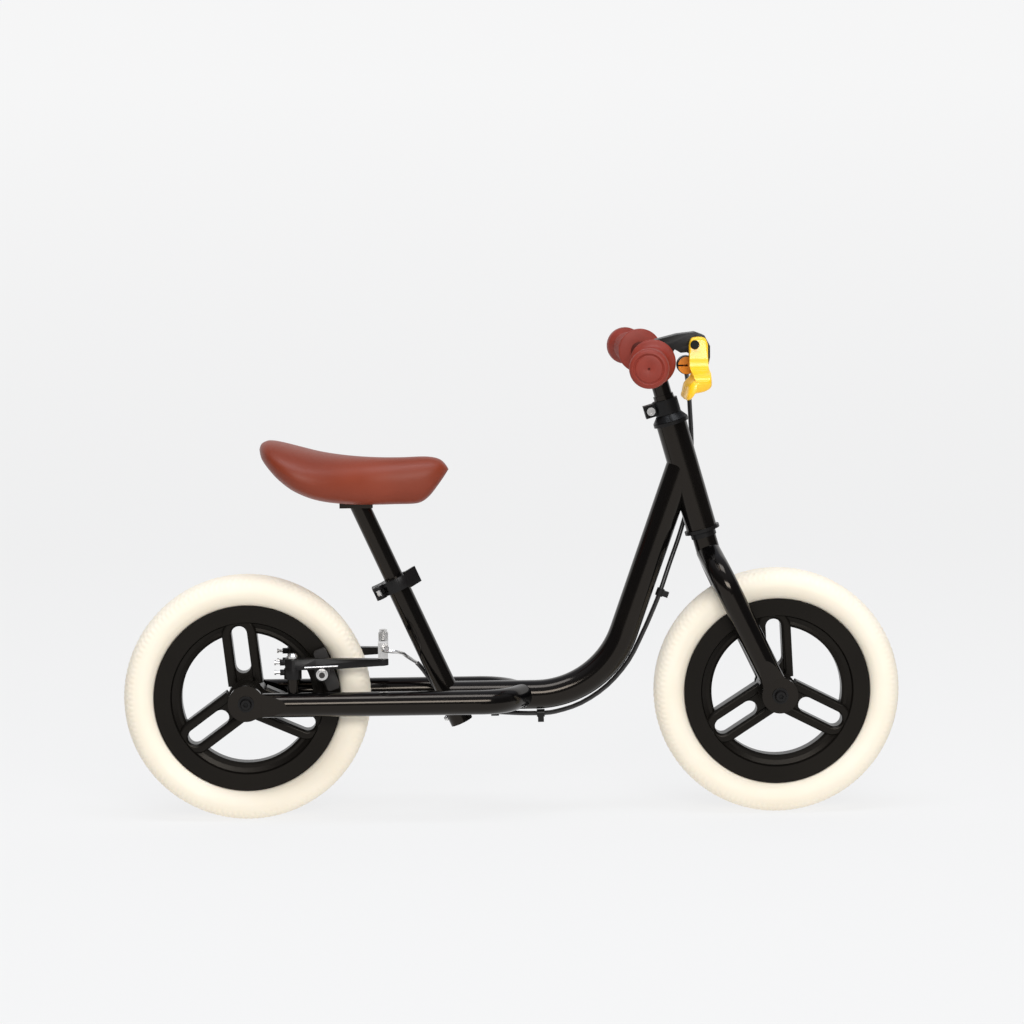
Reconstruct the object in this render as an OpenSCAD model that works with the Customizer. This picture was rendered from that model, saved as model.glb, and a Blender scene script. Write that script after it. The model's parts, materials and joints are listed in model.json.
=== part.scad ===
// Balance bike with one rear hand brake. X points forward, Y to the left, Z up.
// The origin is on the ground, halfway between the two wheels.

/* [Wheels] */
// Distance between the two axles
wheel_base = 546; // [500:1:640]
// Outside diameter of each tyre
tyre_od = 254; // [235:1:270]
// Height of the tyre above the edge of the rim
tyre_height = 31; // [26:1:36]
// Width of the tyre
tyre_w = 44; // [36:1:46]
// Width of the rim across its braking faces
rim_w = 28; // [24:1:32]
// Width of each braking face, across the radius
brake_face_w = 17; // [14:1:20]
// Radius of the wheel's hub
hub_r = 20; // [18:0.5:23]
// Length of the hub between the outer faces of its bearings
hub_len = 60; // [52:1:64]
// Thickness of the band that each spoke loop is made of
spoke_band = 10; // [7:0.5:12]
// Width of the slot inside each spoke loop
spoke_slot = 16; // [12:0.5:20]
// Diameter of the axles
axle_d = 10; // [8:1:12]

/* [Frame] */
// Outside diameter of the main tube
main_od = 30; // [26:1:34]
// Wall of the frame's tubes
tube_wall = 1.8; // [1.2:0.1:2.5]
// Slope of the main tube's front part, from the horizontal
main_rise = 70.8; // [66:0.1:74]
// Bend radius of the main tube
main_bend_r = 97; // [80:1:105]
// Height of the main tube's bend and of the stays below the axles
frame_drop = 2; // [0:1:6]
// Outside diameter of the stays
stay_od = 25; // [20:1:28]
// Distance between the centres of the two stays
stay_spread = 90; // [84:1:100]
// Distance from the seat tube to where the stays meet the main tube
stay_run = 70; // [62:1:90]
// Distance from the rear axle to the seat tube
seat_tube_run = 208; // [195:1:230]
// Outside diameter of the seat tube
seat_tube_od = 23.4; // [22.4:0.1:27]
// Lean of the seat tube from the vertical
seat_lean = 24.4; // [15:0.1:30]
// Length of the seat tube above the main tube's axis
seat_tube_up = 136; // [120:1:160]
// Length of the seat tube below the main tube's axis
seat_tube_down = 30; // [22:1:40]

/* [Steering] */
// Lean of the steering axis from the vertical
head_lean = 15.9; // [12:0.1:20]
// Outside diameter of the head tube
head_od = 31.5; // [30:0.1:36]
// Length of the head tube
head_len = 112; // [100:1:130]
// Distance up the head tube where the main tube's axis meets it
main_meets_head = 71.4; // [60:1:80]
// Outside diameter of the steerer
steerer_od = 21; // [20:0.1:22]
// Forward offset of the front axle from the steering axis
fork_rake = 27.4; // [15:0.1:40]
// Gap between the front tyre and the crown's axis
crown_gap = 33.5; // [30:0.5:50]
// Outside diameter of the fork blades
blade_od = 25; // [20:1:26]
// Distance between the centres of the fork blades
fork_spread = 80; // [76:1:92]

/* [Handlebar] */
// Outside diameter of the handlebar's stem
stem_od = 18.4; // [16:0.1:18.6]
// Height of the bar above the head tube's lower end, along the steering axis
bar_up = 184; // [176:1:210]
// Outside diameter of the bar
bar_od = 19; // [17:0.1:22.2]
// Width of the bar over the ends of its grips
bar_w = 372; // [340:1:420]
// Backward sweep of each half of the bar
bar_sweep = 6.5; // [0:0.5:12]
// Length of each grip
grip_len = 96; // [85:1:110]
// Radius of the grip where the hand holds it
grip_r = 15; // [13:0.5:17]
// Radius of the flange at the grip's inner end
grip_flange_r = 23; // [19:0.5:26]
// Radius of the safety knob at the grip's outer end
grip_knob_r = 19.5; // [17:0.5:24]

/* [Seat] */
// Outside diameter of the seat post
post_od = 20; // [18:0.1:20]
// Length of seat post showing between the clamp and the saddle
post_show = 81; // [70:1:110]
// Length of seat post inside the seat tube
post_hidden = 100; // [70:1:100]
// Full width of the saddle
saddle_w = 116; // [100:1:140]
// Height of the seat clamp's ring
clamp_h = 13; // [10:1:16]

/* [Brake] */
// Distance from the rear axle to the brake pivots
pivot_run = 48; // [44:1:50]
// Height of the brake arms above the rear axle
arm_up = 34; // [32:1:38]
// Length of each brake arm, pivot to tip
arm_len = 92; // [85:1:100]
// Gap between each pad and the rim
pad_gap = 2; // [1.8:0.1:2.4]
// Outside diameter of the cable's housing
cable_od = 4.8; // [4:0.1:5]

/* [Hidden] */
$fn = 64;
hull_fn = 32;
eps = 0.01;
// gap between curved faces that seat on each other
seat_gap = 0.05;
// gap between two pieces that move past each other
move_gap = 0.4;
// a straight run starts this far inside its bend, and is this much thinner
run_in = 0.3;
run_step = 0.1;

axle_z = tyre_od / 2;
rear_x = -wheel_base / 2;
front_x = wheel_base / 2;
rim_r = axle_z - tyre_height;
frame_z = axle_z - frame_drop;
seat_x = rear_x + seat_tube_run;

// steering: the point at the lower end of the head tube, found back from the front axle
blade_len = axle_z + crown_gap;
crown_w = 26;
fork_drop = crown_w + sqrt(pow(blade_len, 2) - pow(fork_rake, 2));
blade_lean = asin(fork_rake / blade_len);
head_x = front_x - fork_rake * cos(head_lean) - fork_drop * sin(head_lean);
head_z = axle_z - fork_rake * sin(head_lean) + fork_drop * cos(head_lean);
join_x = head_x - main_meets_head * sin(head_lean);
join_z = head_z + main_meets_head * cos(head_lean);
corner_x = join_x - (join_z - frame_z) / tan(main_rise);
bend_x = corner_x - main_bend_r * tan(main_rise / 2);
rise_len = (join_z - frame_z) / sin(main_rise) - main_bend_r * tan(main_rise / 2);

// stays
stay_y = stay_spread / 2;
stay_bend = 60;
stay_bend_r = 38;
stay_end_x = seat_x + stay_run;
stay_arc_y = stay_bend_r * (1 - cos(stay_bend));
stay_arc_x = stay_bend_r * sin(stay_bend);
stay_slant = (stay_y - stay_arc_y) / sin(stay_bend);
stay_bend_x = stay_end_x - stay_arc_x - (stay_y - stay_arc_y - main_od / 2) / tan(stay_bend);
dropout_r = 18.5;
dropout_t = 5;
bolt_d = 6;

// fork blades
blade_y = fork_spread / 2;
blade_bend = 60;
blade_bend_r = 34;
blade_arc_y = blade_bend_r * (1 - cos(blade_bend));
blade_arc_z = blade_bend_r * sin(blade_bend);
blade_slant = (blade_y - blade_arc_y) / sin(blade_bend);
blade_slant_z = blade_slant * cos(blade_bend);

// headset
cup_d = 36.4;
cup_t = 3.5;
cup_bore = 25.2;
steerer_top = head_len + 31;
stem_low = 60;
cone_h = 6.5;
collar_h = 15;
collar_d = 26.4;
collar_w0 = head_len + cup_t + 0.5 + cone_h + 0.5;
ear_x = 17;

// handlebar
bar_x = head_x - bar_up * sin(head_lean);
bar_z = head_z + bar_up * cos(head_lean);
bar_flat = 35;
bar_bend_r = 60;
bar_arc_y = bar_bend_r * sin(bar_sweep);
bar_arc_x = bar_bend_r * (1 - cos(bar_sweep));
bar_arm = (bar_w / 2 - bar_flat - bar_arc_y) / cos(bar_sweep);
grip_from = bar_arm - grip_len;

// seat
post_bore = post_od + 0.1;
saddle_x = seat_x - (seat_tube_up + post_show) * sin(seat_lean);
saddle_z = frame_z + (seat_tube_up + post_show) * cos(seat_lean);
clamp_d = seat_tube_od + 7.6;
lever_x = -19;
lever_y = -13.6;
lever_t = 4;
lever_r = clamp_d / 2 + 0.5 + lever_t / 2;

// brake
arm_z = axle_z + arm_up;
arm_t = 11;
arm_w = 9;
pivot_x = rear_x + pivot_run;
pivot_y = 40;
pivot_d = 8;
boss_r = 9;
boss_h = 9.5;
pad_stud_up = 29;
pad_r = rim_r - brake_face_w / 2;
stud_r = pad_r - 4.5;
pad_turn = asin(pad_stud_up / stud_r);
stud_x = rear_x + stud_r * cos(pad_turn);
stud_z = axle_z + pad_stud_up;
pad_len = 44;
pad_h = 13;
pad_t = 9;
tip_x = pivot_x + arm_len;
link_z = arm_z + 20;
// brake lever on the bar
grip_axis_x = bar_x - bar_arc_x - 34 * sin(bar_sweep);
lever_px = bar_x + 36;
lever_pz = bar_z + 17.5;
lever_pin_d = 5;
perch_y0 = -80;
perch_y1 = -58;
adjust_x = bar_x + 29.5;
adjust_z = bar_z - 4.5;

// Route of the brake cable, from the hand lever to the brake. It is kept when sizes change.
cable_route = [
    [175, -57, 469.5], [176, -44, 468], [179, -24, 459], [183, -2, 441], [186, 15, 415], [188, 23, 385],
    [188, 25, 350], [184, 24, 318], [175, 17, 288], [164, 7, 260], [153, 0, 230],
    [144, 0, 208], [135, 0, 188], [120, 0, 159], [98, 0, 133.5], [71, 0, 115.5], [45, 0, 107], [29, 0, 105.5],
    [8, 1, 105.5], [-18, 11, 105.5], [-44, 20, 106],
    [-59, 21, 110], [-73, 21, 122], [-84, 20, 138], [-92, 16, 150], [-98, 9, 158],
    [-103, -5, 163.5], [-107, -20, 168.5], [-110, -35, 173], [-113, -47, 177],
    [-119, -56.5, 180], [-126.5, -59, 181], [-132, -53.5, 181], [-133, -45.3, 181]
];
// places on the route where one piece of the cable ends and the next begins
route_clip = 10;
route_stay = 20;
route_noodle = 25;
route_end = 33;
route_steps = 3;
noodle_od = 3.6;

// ---- frames and helpers ----

// Z runs up the seat tube from where it crosses the main tube's axis, X points forward
module on_seat_tube() {
    translate([seat_x, 0, frame_z]) rotate([0, -seat_lean, 0]) children();
}

// Z runs up the steering axis from the lower end of the head tube
module on_steering() {
    translate([head_x, 0, head_z]) rotate([0, -head_lean, 0]) children();
}

// Z runs up the line from the front axle to the crown, with the crown's centre at the origin
module on_fork() {
    on_steering() translate([0, 0, -crown_w]) rotate([0, -blade_lean, 0]) children();
}

// Z runs outward along one half of the bar from the end of its bend: side -1 right, 1 left
module on_bar(side) {
    translate([bar_x - bar_arc_x, side * (bar_flat + bar_arc_y), bar_z])
        rotate([-90 * side, 0, 0]) rotate([0, -bar_sweep, 0]) children();
}

// a cylinder along Y from y0 to y1
module y_cyl(d, y0, y1) {
    translate([0, y1, 0]) rotate([90, 0, 0]) cylinder(d = d, h = y1 - y0);
}

// a straight run along +Z that carries on from a bend
module run(d, h) {
    translate([0, 0, -run_in]) cylinder(d = d - run_step, h = h + run_in);
}

module ring(od, id, h) {
    difference() {
        cylinder(d = od, h = h);
        translate([0, 0, -eps]) cylinder(d = id, h = h + 2 * eps);
    }
}

// a round bar bent in the XZ plane: the arc starts at the origin along +X and climbs
module xz_arc(r, d, angle) {
    translate([0, 0, r]) rotate([90, 0, 0]) rotate([0, 0, -90])
        rotate_extrude(angle = angle) translate([r, 0]) circle(d = d);
}

// a rounded rectangle
module round_rect(w, h, r) {
    square([w - 2 * r, h], center = true);
    square([w, h - 2 * r], center = true);
    for (x = [-1, 1], y = [-1, 1]) translate([x * (w / 2 - r), y * (h / 2 - r)]) circle(r = r);
}

// a smooth closed outline through a few points
function between(a, b, c, d, t) =
    0.5 * (2 * b + (c - a) * t + (2 * a - 5 * b + 4 * c - d) * t * t + (3 * b - a - 3 * c + d) * t * t * t);
function closed_curve(p, n) =
    [for (i = [0 : len(p) - 1], j = [0 : n - 1])
        between(p[(i + len(p) - 1) % len(p)], p[i], p[(i + 1) % len(p)], p[(i + 2) % len(p)], j / n)];

// a smooth open route through its points, and the rings of a tube along it
function open_curve(p, n) =
    [for (i = [0 : len(p) - 2], j = [0 : n - (i == len(p) - 2 ? 0 : 1)])
        between(p[max(i - 1, 0)], p[i], p[i + 1], p[min(i + 2, len(p) - 1)], j / n)];
function unit(v) = v / norm(v);
function heading(c, i) = unit(c[min(i + 1, len(c) - 1)] - c[max(i - 1, 0)]);
function sideways(c, i) =
    i == 0 ? unit(cross(heading(c, 0), [0, 0, 1]))
    : let (s = sideways(c, i - 1), t = heading(c, i)) unit(s - t * (s * t));
function ring_at(c, i, s, d, sides) =
    let (t = heading(c, i), u = cross(t, s))
    [for (k = [0 : sides - 1]) c[i] + d / 2 * (s * cos(360 * k / sides) + u * sin(360 * k / sides))];

// the tube between two of the route's points
module route_tube(from, to, d, sides = 8) {
    c = open_curve(cable_route, route_steps);
    first = from * route_steps;
    last = to * route_steps;
    points = [for (i = [first : last]) each ring_at(c, i, sideways(c, i), d, sides)];
    rings = last - first;
    skin = [for (i = [0 : rings - 1], k = [0 : sides - 1])
        let (n = (k + 1) % sides)
        each [[i * sides + k, (i + 1) * sides + k, (i + 1) * sides + n],
              [i * sides + k, (i + 1) * sides + n, i * sides + n]]];
    caps = [[for (k = [0 : sides - 1]) k], [for (k = [sides - 1 : -1 : 0]) rings * sides + k]];
    polyhedron(points = points, faces = concat(skin, caps), convexity = 10);
}

// a low socket screw head with its washer, pointing along +Z, and its shank along -Z
module socket_head(d, washer_d, shank_d, shank_len) {
    washer_t = 1.5;
    head_h = d * 0.42;
    difference() {
        union() {
            cylinder(d = washer_d, h = washer_t);
            translate([0, 0, washer_t]) cylinder(d1 = d, d2 = d * 0.8, h = head_h);
            translate([0, 0, -shank_len]) cylinder(d = shank_d, h = shank_len + eps);
        }
        translate([0, 0, washer_t + head_h * 0.4]) cylinder(d = d * 0.46, h = head_h, $fn = 6);
    }
}

// ---- frame ----

module main_path(d) {
    back = seat_x;
    translate([back, 0, frame_z]) rotate([0, 90, 0])
        cylinder(d = d - run_step, h = bend_x - back + run_in);
    translate([bend_x, 0, frame_z]) {
        xz_arc(main_bend_r, d, main_rise);
        translate([main_bend_r * sin(main_rise), 0, main_bend_r * (1 - cos(main_rise))])
            rotate([0, 90 - main_rise, 0]) run(d, rise_len);
    }
}

module main_tube() {
    color("black") difference() {
        main_path(main_od);
        main_path(main_od - 2 * tube_wall);
        on_seat_tube() translate([0, 0, -seat_tube_down - 20])
            cylinder(d = seat_tube_od + 2 * seat_gap, h = seat_tube_down + seat_tube_up);
        on_steering() translate([0, 0, -20]) cylinder(d = head_od + 2 * seat_gap, h = head_len + 40);
    }
}

module head_tube() {
    color("black") on_steering() ring(head_od, 28 + 2 * seat_gap, head_len);
}

module seat_tube() {
    slot_w = 3;
    slot_len = 32;
    color("black") on_seat_tube() difference() {
        translate([0, 0, -seat_tube_down]) ring(seat_tube_od, post_bore, seat_tube_down + seat_tube_up);
        translate([-seat_tube_od, -slot_w / 2, seat_tube_up - slot_len])
            cube([seat_tube_od, slot_w, slot_len + 1]);
        translate([-seat_tube_od, 0, -seat_tube_down + 10]) rotate([0, 90, 0]) cylinder(d = 4, h = seat_tube_od);
    }
}

// the right stay's centre line, at +Y mirrored by side
module stay_path(side, d, end_x) {
    mirror([0, side > 0 ? 0 : 1, 0]) {
        translate([stay_bend_x, stay_y, frame_z]) rotate([0, -90, 0]) run(d, stay_bend_x - end_x);
        translate([stay_bend_x, stay_y - stay_bend_r, frame_z]) rotate([0, 0, 90 - stay_bend])
            rotate_extrude(angle = stay_bend) translate([stay_bend_r, 0]) circle(d = d);
        translate([stay_bend_x + stay_arc_x, stay_y - stay_arc_y, frame_z])
            rotate([0, 90, -stay_bend]) run(d, stay_slant);
    }
}

module stay(side) {
    flat_x = rear_x + dropout_r - 3;
    taper = 18;
    color("black") difference() {
        union() {
            difference() {
                stay_path(side, stay_od, rear_x + 4);
                stay_path(side, stay_od - 2 * tube_wall, flat_x + 26);
                // both flanks are pressed flat towards the axle
                translate([flat_x + 26, side * stay_y, frame_z]) for (flank = [-1, 1])
                    translate([0, flank * stay_od / 2, 0]) rotate([0, 0, flank * taper])
                        translate([-60, flank > 0 ? 0 : -30, -30]) cube([60, 30, 60]);
                translate([flat_x - 60, side * stay_y + dropout_t / 2, frame_z - 30]) cube([61, 30, 60]);
                translate([flat_x - 60, side * stay_y - 30 - dropout_t / 2, frame_z - 30]) cube([61, 30, 60]);
            }
            translate([rear_x, 0, axle_z])
                y_cyl(2 * dropout_r, side * stay_y - dropout_t / 2, side * stay_y + dropout_t / 2);
        }
        translate([rear_x, 0, axle_z])
            y_cyl(bolt_d + 0.4, side * stay_y - stay_od, side * stay_y + stay_od);
        main_path(main_od + 2 * seat_gap);
        // the foot of the brake post lands here
        translate([pivot_x, side * pivot_y, frame_z]) cylinder(d = 4.2, h = stay_od);
    }
}

module brake_posts() {
    post_d = 11;
    color("black") for (side = [-1, 1]) translate([0, side * pivot_y, 0]) {
        difference() {
            translate([pivot_x, 0, frame_z + 4]) cylinder(d = post_d, h = arm_z - boss_h - 0.6 - frame_z - 4);
            translate([rear_x, side * (stay_y - pivot_y), frame_z]) rotate([0, 90, 0])
                cylinder(d = stay_od + 2 * seat_gap, h = 2 * pivot_run);
        }
        translate([pivot_x, 0, frame_z + stay_od / 2 - 6]) cylinder(d = 4, h = 8);
        translate([pivot_x, 0, arm_z - boss_h - 0.7]) cylinder(d = pivot_d, h = arm_t + boss_h);
    }
}

module brake_pivot_bolts() {
    head_d = 11;
    color("silver") for (side = [-1, 1])
        translate([pivot_x, side * pivot_y, arm_z + arm_t + 0.4]) difference() {
            union() {
                cylinder(d = head_d, h = 2.2);
                translate([0, 0, 2.2]) cylinder(d1 = head_d, d2 = head_d * 0.6, h = 2.8);
                translate([0, 0, -1.1]) cylinder(d = pivot_d - 1, h = 1.2);
            }
            translate([0, 0, 2.6]) cylinder(d = 5, h = 4, $fn = 6);
        }
}

module headset_cups() {
    insert_d = 28;
    color("black") on_steering() for (top = [0, 1])
        translate([0, 0, top * head_len]) mirror([0, 0, top]) difference() {
            union() {
                translate([0, 0, -cup_t]) cylinder(d = cup_d, h = cup_t);
                cylinder(d = insert_d, h = 8);
            }
            translate([0, 0, -cup_t - eps]) cylinder(d = cup_bore, h = cup_t + 5);
            translate([0, 0, 0]) cylinder(d = steerer_od + 1.4, h = 9);
        }
}

module headset_bearings() {
    color("silver") on_steering() for (top = [0, 1])
        translate([0, 0, top * head_len]) mirror([0, 0, top]) translate([0, 0, -2])
            ring(cup_bore - 2 * seat_gap, steerer_od + 0.1, 6.5);
}

// clips that hold the cable under the main tube, and one inside the left stay
module cable_clips() {
    c = open_curve(cable_route, route_steps);
    wall = 1.6;
    color("black") {
        for (at = [route_clip, 17]) {
            i = at * route_steps;
            t = heading(c, i);
            turn = atan2(t[0], t[2]);
            difference() {
                translate(c[i]) rotate([0, turn, 0]) union() {
                    translate([0, 0, -4]) cylinder(d = cable_od + 2 * wall, h = 8);
                    translate([t[0] > 0 ? -1 : -9, -3, -3]) cube([10, 6, 6]);
                }
                translate(c[i]) rotate([0, turn, 0]) translate([0, 0, -5])
                    cylinder(d = cable_od + 1.2, h = 10);
                main_path(main_od + 2 * seat_gap);
            }
        }
        // the clip near the seat tube hangs from the left stay
        i = route_stay * route_steps - route_steps;
        difference() {
            translate(c[i]) union() {
                translate([-4, 0, 0]) rotate([0, 90, 0]) cylinder(d = cable_od + 2 * wall + 0.6, h = 8);
                translate([-3, 0, 0]) cube([6, stay_y - c[i][1] - 8, 7]);
            }
            translate(c[i]) rotate([0, 90, atan2(heading(c, i)[1], heading(c, i)[0])]) translate([0, 0, -8])
                cylinder(d = cable_od + 0.9, h = 16);
            stay_path(1, stay_od + 2 * seat_gap, rear_x);
            main_path(main_od + 2 * seat_gap);
        }
    }
}

module cable_main() {
    color("black") route_tube(route_clip, route_stay, cable_od);
}

module cable_rear() {
    color("black") route_tube(route_stay, route_noodle, cable_od);
}

module foot_screw() {
    color("silver") on_seat_tube()
        translate([-seat_tube_od / 2 - 0.1, 0, -seat_tube_down + 10]) rotate([0, -90, 0])
            socket_head(4.5, 6, 3.8, 3);
}

module seat_clamp_collar() {
    color("black") on_seat_tube() translate([0, 0, seat_tube_up - clamp_h]) difference() {
        union() {
            cylinder(d = clamp_d, h = clamp_h);
            translate([lever_x - 6, -6.5, 0]) cube([14, 13, clamp_h]);
        }
        translate([0, 0, -1]) cylinder(d = seat_tube_od + 2 * seat_gap, h = clamp_h + 2);
        translate([lever_x - 10, -1.5, -1]) cube([20, 3, clamp_h + 2]);
        translate([lever_x, 0, clamp_h / 2]) y_cyl(5.4, -20, 20);
    }
}

// the draw bolt, its cross pin in the lever's fork and its nut on the far side
module seat_clamp_bolt() {
    color("silver") on_seat_tube() translate([lever_x, 0, seat_tube_up - clamp_h / 2]) {
        y_cyl(5, lever_y, 7);
        translate([0, lever_y, -5.5]) cylinder(d = 5.8, h = 11);
        y_cyl(10, 6.8, 11.5);
    }
}

module seat_clamp_lever() {
    fork_gap = 6;
    fork_deep = 9;
    arc_from = 225;
    arc_to = 316;
    tip_len = 15;
    tip_h = 17;
    eye_d = 11.4;
    color("black") on_seat_tube() translate([0, 0, seat_tube_up - clamp_h / 2]) difference() {
        union() {
            translate([0, 0, -clamp_h / 2]) {
                rotate([0, 0, arc_from]) rotate_extrude(angle = arc_to - arc_from)
                    translate([lever_r - lever_t / 2, 0]) square([lever_t, clamp_h]);
                translate([lever_x, lever_y, -0.3]) cylinder(d = eye_d, h = clamp_h + 0.6);
            }
            rotate([0, 0, arc_to]) translate([lever_r - lever_t / 2, -1, -tip_h / 2])
                cube([lever_t, tip_len, tip_h]);
            rotate([0, 0, arc_to]) translate([lever_r, tip_len - 1, -tip_h / 2])
                cylinder(d = lever_t, h = tip_h);
        }
        cylinder(d = clamp_d + 0.8, h = clamp_h + 2, center = true);
        translate([lever_x, lever_y, -clamp_h]) cylinder(d = 6, h = 2 * clamp_h);
        // the fork straddles the draw bolt
        translate([lever_x - 10, lever_y - 10, -fork_gap / 2]) cube([10 + fork_deep, 24, fork_gap]);
        // ears of the collar
        translate([lever_x - 6.4, -6.9, -clamp_h]) cube([14.4, 13, 2 * clamp_h]);
    }
}

// ---- seat ----

module seat_post() {
    plate_l = 34;
    plate_w = 34;
    plate_t = 5.7;
    color("black") {
        on_seat_tube() translate([0, 0, seat_tube_up - post_hidden])
            difference() {
                ring(post_od, post_od - 3, post_hidden + post_show + 6);
                // the top is cut level under the saddle's plate
                translate([0, 0, post_hidden + post_show]) rotate([0, seat_lean, 0])
                    translate([-40, -40, 0]) cube([80, 80, 40]);
            }
        translate([saddle_x - 4, 0, saddle_z + plate_t / 2])
            cube([plate_l, plate_w, plate_t], center = true);
    }
}

saddle_side = [
    [-105, 60], [-94, 67.5], [-73, 63], [-50, 56], [-20, 50], [25, 48.5], [67, 49.5], [78, 46], [87, 37],
    [80, 25], [70, 12.5], [56, 6], [25, 4], [-13, 5.5], [-42, 12], [-66, 21], [-87, 35], [-99, 47]
];
saddle_plan = [
    [-105, 0], [-101, 0.5], [-86, 0.86], [-62, 1], [-34, 0.93], [-4, 0.7], [28, 0.5], [60, 0.42], [80, 0.28],
    [87, 0]
];

module saddle_outline() {
    half = [for (p = saddle_plan) [p[0], p[1] * saddle_w / 2]];
    other = [for (i = [len(half) - 2 : -1 : 1]) [half[i][0], -half[i][1]]];
    polygon(closed_curve(concat(half, other), 4));
}

module saddle_cushion() {
    recess_z = 16;
    color("sienna") translate([saddle_x, 0, saddle_z]) difference() {
        intersection() {
            rotate([90, 0, 0]) linear_extrude(height = 2 * saddle_w, center = true)
                polygon(closed_curve(saddle_side, 4));
            linear_extrude(height = 100) saddle_outline();
        }
        // recess for the base plate, open below
        translate([-22.5, -18, -1]) cube([60, 36, recess_z + 1]);
    }
}

module saddle_base() {
    base_t = 5;
    color("black") translate([saddle_x, 0, saddle_z + 6]) difference() {
        translate([-22, -17.5, 0]) cube([59, 35, base_t]);
        for (x = [-1, 1], y = [-1, 1]) translate([11 * x - 4, 11 * y, -1]) cylinder(d = 5.4, h = base_t + 2);
    }
}

module saddle_screws() {
    color("silver") translate([saddle_x, 0, saddle_z]) for (x = [-1, 1], y = [-1, 1])
        translate([11 * x - 4, 11 * y, 6.1 + 5]) {
            cylinder(d = 8.5, h = 3);
            translate([0, 0, -4.8]) cylinder(d = 5, h = 5);
        }
}

// ---- fork and headset ----

module blade_path(side, d, low) {
    mirror([0, side > 0 ? 0 : 1, 0]) {
        rotate([180 + blade_bend, 0, 0]) cylinder(d = d - run_step, h = blade_slant + run_in);
        translate([0, blade_y - blade_bend_r, -blade_slant_z - blade_arc_z]) rotate([0, 90, 0])
            rotate([0, 0, 90]) rotate_extrude(angle = blade_bend) translate([blade_bend_r, 0]) circle(d = d);
        translate([0, blade_y, -blade_slant_z - blade_arc_z]) rotate([180, 0, 0])
            run(d, low - blade_slant_z - blade_arc_z);
    }
}

module fork_blade(side) {
    flat_up = dropout_r - 3;
    taper = 18;
    color("black") on_fork() difference() {
        union() {
            difference() {
                blade_path(side, blade_od, blade_len - 4);
                blade_path(side, blade_od - 2 * tube_wall, blade_len - flat_up - 26);
                translate([0, side * blade_y, -blade_len + flat_up + 26]) for (flank = [-1, 1])
                    translate([0, flank * blade_od / 2, 0]) rotate([-flank * taper, 0, 0])
                        translate([-30, flank > 0 ? 0 : -30, -60]) cube([60, 30, 60]);
                translate([-30, side * blade_y + dropout_t / 2, -blade_len - 40]) cube([60, 30, 41 + flat_up]);
                translate([-30, side * blade_y - 30 - dropout_t / 2, -blade_len - 40])
                    cube([60, 30, 41 + flat_up]);
            }
            translate([0, 0, -blade_len])
                y_cyl(2 * dropout_r, side * blade_y - dropout_t / 2, side * blade_y + dropout_t / 2);
        }
        translate([0, 0, -blade_len]) y_cyl(bolt_d + 0.4, side * blade_y - 20, side * blade_y + 20);
        // the two blades meet on the centre plane
        translate([-40, side > 0 ? -60 + seat_gap / 2 : -seat_gap / 2, -60]) cube([80, 60, 100]);
    }
}

module fork_steerer() {
    base_d = 24.4;
    slot_w = 2.5;
    color("black") difference() {
        on_steering() difference() {
            union() {
                translate([0, 0, -9.5]) cylinder(d = steerer_od, h = steerer_top + 9.5);
                translate([0, 0, -crown_w]) cylinder(d = base_d, h = crown_w - 9.5);
            }
            translate([0, 0, -8]) cylinder(d = stem_od + 0.1, h = steerer_top + 10);
            translate([-steerer_od, -slot_w / 2, steerer_top - 26]) cube([steerer_od, slot_w, 30]);
        }
        on_fork() for (side = [-1, 1]) blade_path(side, blade_od + 2 * seat_gap, 80);
    }
}

module headset_cones() {
    color("black") on_steering() {
        difference() {
            union() {
                translate([0, 0, -9.5]) cylinder(d = 26.4, h = 5);
                translate([0, 0, -4.6]) cylinder(d = 23.6, h = 2.2);
            }
            translate([0, 0, -12]) cylinder(d = steerer_od + 2 * seat_gap, h = 14);
        }
        translate([0, 0, head_len + cup_t + 0.5]) difference() {
            union() {
                cylinder(d1 = cup_d, d2 = 26.5, h = cone_h);
                translate([0, 0, -1.6]) cylinder(d = 23.6, h = 1.7);
            }
            translate([0, 0, -3]) cylinder(d = steerer_od + 2 * seat_gap, h = cone_h + 6);
        }
    }
}

module handlebar_collar() {
    ear_l = 12;
    ear_w = 13;
    color("black") on_steering() translate([0, 0, collar_w0]) difference() {
        union() {
            cylinder(d = collar_d, h = collar_h);
            translate([-ear_x - 6.5, -ear_w / 2, 1]) cube([ear_l, ear_w, collar_h - 2]);
        }
        translate([0, 0, -1]) cylinder(d = steerer_od + 2 * seat_gap, h = collar_h + 2);
        translate([-ear_x - 8, -1.2, -1]) cube([20, 2.4, collar_h + 2]);
        translate([-ear_x, 0, collar_h / 2]) y_cyl(5.3, -20, 20);
    }
}

module handlebar_collar_bolt() {
    head_d = 8.6;
    color("silver") on_steering() translate([-ear_x, 0, collar_w0 + collar_h / 2]) difference() {
        union() {
            y_cyl(5, -8, 9);
            y_cyl(head_d, -10, -6.6);
            y_cyl(head_d, 6.6, 9.6);
        }
        translate([0, -8.6, 0]) rotate([90, 0, 0]) cylinder(d = 4.6, h = 4, $fn = 6);
    }
}

// ---- axles ----

// the spindle between a pair of dropouts; its middle carries the bearings
module axle(spread) {
    inner = spread / 2 - dropout_t / 2;
    difference() {
        y_cyl(axle_d, -inner + 0.1, inner - 0.1);
        for (side = [-1, 1]) translate([0, side * (inner + 1), 0]) rotate([side * 90, 0, 0])
            cylinder(d = bolt_d - 1, h = 22);
    }
}

module axle_spacers(spread) {
    inner = spread / 2 - dropout_t / 2;
    for (side = [-1, 1]) mirror([0, side > 0 ? 0 : 1, 0]) difference() {
        y_cyl(14, hub_len / 2 + 0.5, inner - 0.1);
        y_cyl(axle_d + 2 * seat_gap, 0, inner + 5);
    }
}

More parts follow.
